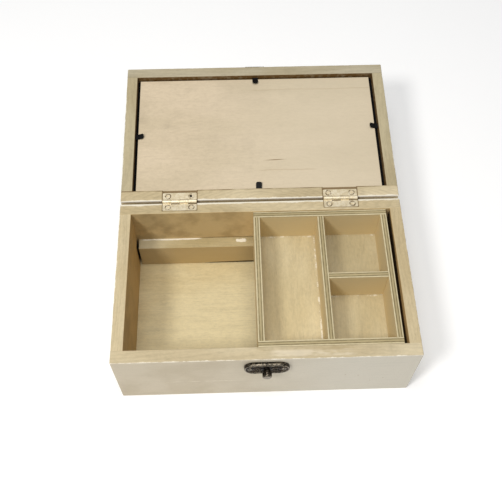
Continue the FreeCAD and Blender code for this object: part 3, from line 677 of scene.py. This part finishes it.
def black_enamel():
    s = Surface("black_enamel")
    dust_and_sheen = s.noise(s.millimetres(), 2.2, 4.0, 0.7)
    base = s.mix(s.steps(dust_and_sheen, 0.5, 0.8), colour(11, 10, 10), colour(34, 32, 30))
    s.bump(dust_and_sheen, 0.2, 0.0002)
    return s.finish(base, s.steps(dust_and_sheen, 0.3, 0.7, 0.75, 0.55), Specular_IOR_Level=0.2)


def black_card():
    s = Surface("black_card")
    pulp = s.noise(s.millimetres(), 1.6, 5.0, 0.7)
    base = s.mix(pulp, colour(10, 9, 9), colour(20, 18, 17))
    s.bump(pulp, 0.2, 0.0002)
    return s.finish(base, s.steps(pulp, 0.3, 0.7, 0.95, 0.85), Specular_IOR_Level=0.1)


def insert_paper():
    s = Surface("insert_paper")
    mm = s.millimetres()
    pulp = s.noise(mm, 0.9, 5.0, 0.7)
    flecks = s.steps(s.noise(along_grain(s, mm, "x", 0.3), 2.5, 2.0), 0.66, 0.74)
    base = s.mix(pulp, colour(240, 237, 228), colour(228, 224, 213))
    base = s.mix(s.times(flecks, 0.3), base, colour(190, 182, 165))
    s.bump(pulp, 0.1, 0.0001)
    return s.finish(base, s.steps(pulp, 0.3, 0.7, 0.9, 0.8))


def glazing():
    """Clear glass, as a thin pale veil that the insert shows through."""
    s = Surface("clear_glazing")
    haze = s.noise(s.millimetres(), 0.05, 3.0, 0.6)
    base = s.mix(haze, colour(206, 222, 217), colour(196, 213, 207))
    s.bump(haze, 0.05, 0.0002)
    veil = s.steps(haze, 0.3, 0.7, 0.1, 0.14)
    return s.finish(base, s.steps(haze, 0.3, 0.7, 0.03, 0.09), Alpha=veil)


def dress_metal(catch_metal):
    # the first name that a node's own name starts with says what it is made of
    finishes = {"hinge_": brass(),
                "latch_knob": antique_bronze("knob_bronze", 6.0, 11.0, 0.3, 0.16),
                "latch_": catch_metal,
                "hasp_": antique_bronze("hasp_bronze", 3.0, 9.0, 0.3, 0.3, in_lid=True),
                "retainer_tab": black_enamel()}
    for node in nodes:
        for start, material in finishes.items():
            if node.startswith(start):
                dress(node, material)
                break


def dress_picture():
    dress("lid_backing_card", black_card())
    dress("picture_insert", insert_paper())
    dress("lid_glazing", glazing())


# ---- relief plate of the latch -----------------------------------------------------------------------
# The size is rounded, because the facets of the CAD plate's round ends fall 0.01 mm short of the arcs.
PLATE_LENGTH, PLATE_THICKNESS, PLATE_HEIGHT = (round(side, 1) for side in CATCH_HIGH - CATCH_LOW)
PLATE_MIDDLE_Z = (CATCH_LOW.z + CATCH_HIGH.z) / 2
FIELD_DROP = 1.0             # from the rim's top down to the sunk field
RIM_WIDTH = 1.3
BEAD_LINE = 2.5              # from the plate's outline to the row of beads
BEAD_PITCH = 1.5
SPIRAL_X = 6.4               # from the plate's middle to a spiral's eye
SPIRAL_REACH = 3.6
SPIRAL_PITCH = 1.7
LEAVES = ((9.6, 0.0, 2.6), (9.2, 0.75, 2.4), (9.2, -0.75, 2.4))      # (start, tilt, length) of each leaf
RINGS, ROUND = 28, 160       # the mesh's loops from the outline to the middle, and points in a loop


def ridge(distance, width):
    """A soft raised line: 1 on it, 0 beyond width."""
    return max(0.0, 1 - (distance / width) ** 2) ** 1.5


def scroll(x, z):
    """Two mirrored spirals with a leaf spray between them, as heights from 0 to 1."""
    x = abs(x)
    best = 0.0
    reach = math.hypot(x - SPIRAL_X, z)
    if reach < SPIRAL_REACH:
        turn = math.atan2(z, x - SPIRAL_X) / math.tau
        away = abs((reach / SPIRAL_PITCH - turn + 0.5) % 1 - 0.5) * SPIRAL_PITCH
        best = ridge(away, 0.55) * min(1.0, (SPIRAL_REACH + 0.3 - reach) / 0.6)
    for start, tilt, length in LEAVES:
        along = (x - start) * math.cos(tilt) + z * math.sin(tilt)
        side = abs(-(x - start) * math.sin(tilt) + z * math.cos(tilt))
        if 0 < along < length:
            best = max(best, ridge(side, 0.5) * math.sin(math.pi * along / length))
    return best


def relief_height(inset, x, z, beads):
    """How far the relief stands from the wood, inset millimetres inside the plate's outline: a rolled
    rim, a groove, a row of beads on a raised band, and scrollwork on a sunk field."""
    if inset < RIM_WIDTH:
        return PLATE_THICKNESS - 0.55 * (1 - ridge(inset - RIM_WIDTH / 2, 0.7))
    bead = ridge(math.hypot((beads % 1 - 0.5) * BEAD_PITCH, inset - BEAD_LINE), 0.8)
    rope = 0.55 * ridge(inset - BEAD_LINE, 0.9) + 0.4 * bead
    ground = 0.07 * math.sin(5.1 * x + 1.3) * math.sin(4.7 * z)
    return min(PLATE_THICKNESS, PLATE_THICKNESS - FIELD_DROP + max(rope, 0.8 * scroll(x, z)) + ground)


def plate_height(inset, x, z, beads):
    """The relief's height, levelled to the field round the two screws."""
    out = relief_height(inset, x, z, beads)
    if inset > 0:
        for screw_x in (-PLATE_SCREW_ASIDE, PLATE_SCREW_ASIDE):
            flat = ridge(max(0.0, math.hypot(x - screw_x, z) - PLATE_SCREW_SEAT), 0.6)
            out = out * (1 - flat) + (PLATE_THICKNESS - FIELD_DROP) * flat
    return out


def stadium_point(share, inset):
    """A point on the plate's outline moved inward by inset; share runs once round from 0 to 1."""
    radius = PLATE_HEIGHT / 2
    straight = PLATE_LENGTH / 2 - radius
    inner = radius - inset
    arc, side = math.pi * radius, 2 * straight
    run = share * 2 * (arc + side)
    for centre, start in ((straight, -math.pi / 2), (-straight, math.pi / 2)):
        if run <= arc:
            angle = start + run / radius
            return centre + inner * math.cos(angle), inner * math.sin(angle)
        run -= arc
        if run <= side:
            return centre - math.copysign(run, centre), math.copysign(inner, centre)
        run -= side
    return straight, -inner


def catch_plate(material):
    """A cast plate with rolled rim, bead row and scrollwork, standing on the box's front face."""
    bm = bmesh.new()
    radius = PLATE_HEIGHT / 2
    around = 2 * math.pi * radius + 4 * (PLATE_LENGTH / 2 - radius)
    loops = []
    for step in range(-1, RINGS + 1):
        inset = max(0.0, radius * step / RINGS)
        loop = []
        for number in range(ROUND):
            x, z = stadium_point(number / ROUND, inset)
            # the first loop lies on the wood, and the second stands over it at the rim
            out = 0.0 if step < 0 else plate_height(inset, x, z, around * number / ROUND / BEAD_PITCH)
            loop.append(bm.verts.new((x * MM, (-HALF_Y - out) * MM, (PLATE_MIDDLE_Z + z) * MM)))
        loops.append(loop)
    for outer, inner in zip(loops, loops[1:]):
        for number in range(ROUND):
            after = (number + 1) % ROUND
            bm.faces.new((outer[number], outer[after], inner[after], inner[number]))
    bm.faces.new(reversed(loops[0]))
    bmesh.ops.remove_doubles(bm, verts=bm.verts, dist=0.02 * MM)
    bmesh.ops.recalc_face_normals(bm, faces=bm.faces)
    mesh = bpy.data.meshes.new("catch_plate_relief")
    bm.to_mesh(mesh)
    bm.free()
    mesh.polygons.foreach_set("use_smooth", [True] * len(mesh.polygons))
    mesh.materials.append(material)
    piece = bpy.data.objects.new("catch_plate_relief", mesh)
    bpy.context.scene.collection.objects.link(piece)
    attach(piece, "base")
    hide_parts("latch_catch_plate")


# ---- floor, light and camera, in metres --------------------------------------------------------------
FLOOR_SIZE = 6.0
LIT_POINT = (0.0, 0.03, 0.05)
KEY_TINT = (1.0, 0.985, 0.96)
CAMERA_LENS = 53.3
CAMERA_PLACE = (-0.0197, -0.2719, 0.5791)
CAMERA_TURN = (0.5276, -0.0033, -0.0304)


def floor():
    s = Surface("studio_floor")
    mottle = s.noise(s.millimetres(), 0.004, 2.0)
    base = s.mix(mottle, (0.93, 0.93, 0.93, 1.0), (0.91, 0.91, 0.91, 1.0))
    s.finish(base, s.steps(mottle, 0.3, 0.7, 0.9, 0.85), Specular_IOR_Level=0.1,
             Emission_Color=(1.0, 1.0, 1.0, 1.0), Emission_Strength=0.15)
    bm = bmesh.new()
    bmesh.ops.create_grid(bm, x_segments=4, y_segments=4, size=FLOOR_SIZE)
    mesh = bpy.data.meshes.new("studio_floor")
    bm.to_mesh(mesh)
    bm.free()
    mesh.materials.append(s.material)
    plane = bpy.data.objects.new("studio_floor", mesh)
    bpy.context.scene.collection.objects.link(plane)


def area_light(name, place, size, power, tint=(1.0, 1.0, 1.0)):
    data = bpy.data.lights.new(name, "AREA")
    data.shape = "DISK"
    data.size = size
    data.energy = power
    data.color = tint
    light = bpy.data.objects.new(name, data)
    light.location = place
    light.rotation_euler = (Vector(LIT_POINT) - Vector(place)).to_track_quat("-Z", "Y").to_euler()
    bpy.context.scene.collection.objects.link(light)


def studio():
    world = bpy.data.worlds.new("studio")
    world.use_nodes = True
    background = world.node_tree.nodes["Background"]
    background.inputs["Color"].default_value = (1.0, 1.0, 1.0, 1.0)
    background.inputs["Strength"].default_value = 0.26
    bpy.context.scene.world = world
    area_light("key", (-0.62, -0.6, 1.25), 0.3, 9.6, KEY_TINT)
    area_light("ceiling", (-0.05, -0.1, 1.4), 0.8, 9.5)
    bpy.context.scene.view_settings.view_transform = "Standard"


def camera():
    data = bpy.data.cameras.new("camera")
    data.sensor_width = 36.0
    data.lens = CAMERA_LENS
    data.clip_start = 0.01
    seen_from = bpy.data.objects.new("camera", data)
    seen_from.location = CAMERA_PLACE
    seen_from.rotation_euler = Euler(CAMERA_TURN, "XYZ")
    bpy.context.scene.collection.objects.link(seen_from)
    bpy.context.scene.camera = seen_from


camera()
studio()
floor()
dress_base()
dress_tray()
dress_lid()
catch_bronze = antique_bronze("catch_bronze", 2.3, 3.2, 0.75, 0.3)
dress_metal(catch_bronze)
dress_picture()
catch_plate(catch_bronze)
